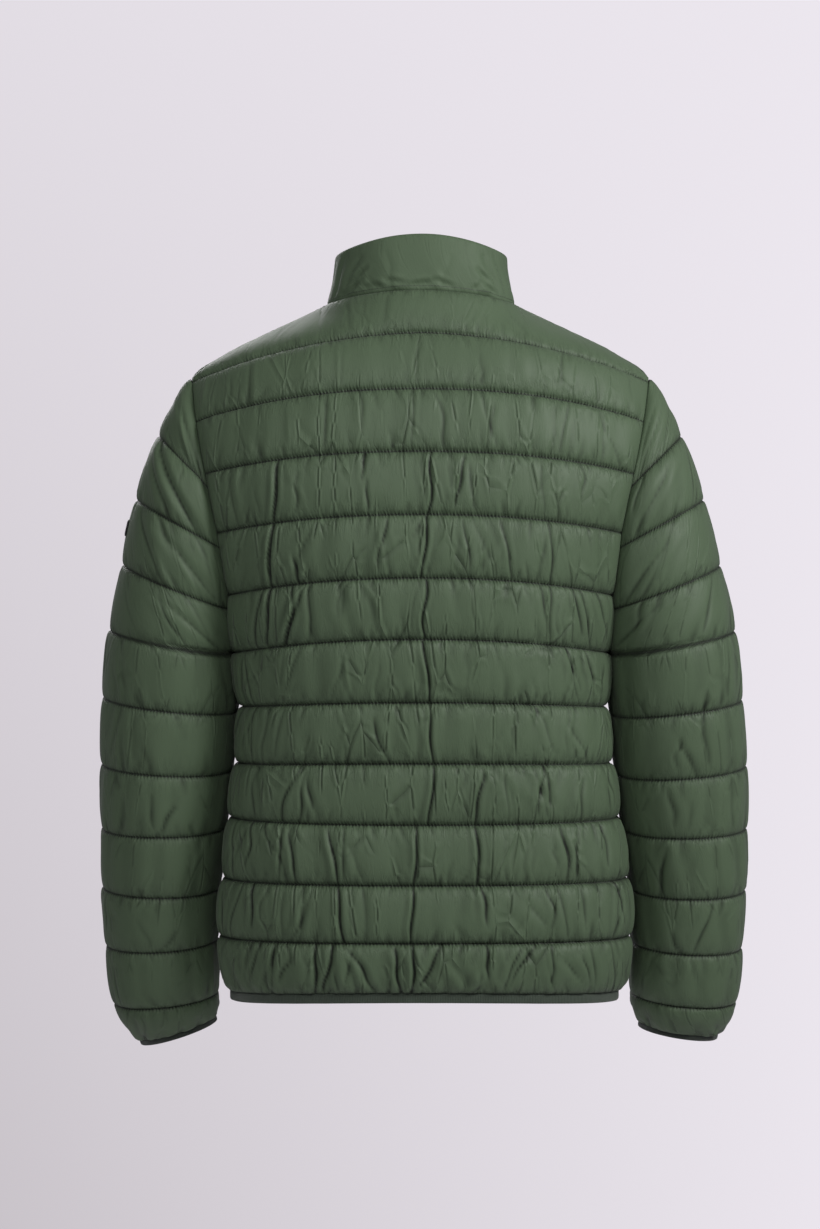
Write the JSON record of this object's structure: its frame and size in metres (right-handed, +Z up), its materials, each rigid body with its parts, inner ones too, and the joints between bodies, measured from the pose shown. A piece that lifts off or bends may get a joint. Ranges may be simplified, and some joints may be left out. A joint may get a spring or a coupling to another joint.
{
  "type": "quilted puffer jacket",
  "caption": "Light quilted puffer jacket with horizontal channels, stand collar, full front zip and bound hem and cuffs, in its hollow worn shape.",
  "frame": {"origin": "on the wearer's shoulders, level with the neck seam, in the middle of the neck", "axes": "+Z up, +Y out of the back, -Y out of the zipped front, +X towards the wearer's left"},
  "size_m": [0.6528, 0.2689, 0.811],
  "materials": {
    "quilted_shell": "satin woven nylon, lightly padded",
    "binding": "narrow knitted binding",
    "cuff_binding": "narrow elastic binding",
    "zip_tape": "woven tape",
    "zip_chain": "moulded coil",
    "zip_metal": "dark lacquer",
    "patch": "smooth plain badge"
  },
  "bodies": {
    "jacket": {"back_panel": "quilted_shell", "front_left": "quilted_shell", "front_right": "quilted_shell", "sleeve_left": "quilted_shell", "sleeve_right": "quilted_shell", "collar": "quilted_shell", "hem_binding": "binding", "cuff_binding_left": "cuff_binding", "cuff_binding_right": "cuff_binding", "zip_tape_left": "zip_tape", "zip_tape_right": "zip_tape", "zip_chain": "zip_chain", "zip_slider": "zip_metal", "sleeve_patch": "patch"},
    "pull_tab": {"zip_pull_tab": "zip_metal"}
  },
  "joints": [
    {"name": "pull_tab_hinge", "type": "hinge", "parent": "jacket", "child": "pull_tab", "pos_m": [0, -0.0795, -0.02856], "axis": [-1, 0, 0], "range_deg": [0, 150]}
  ]
}
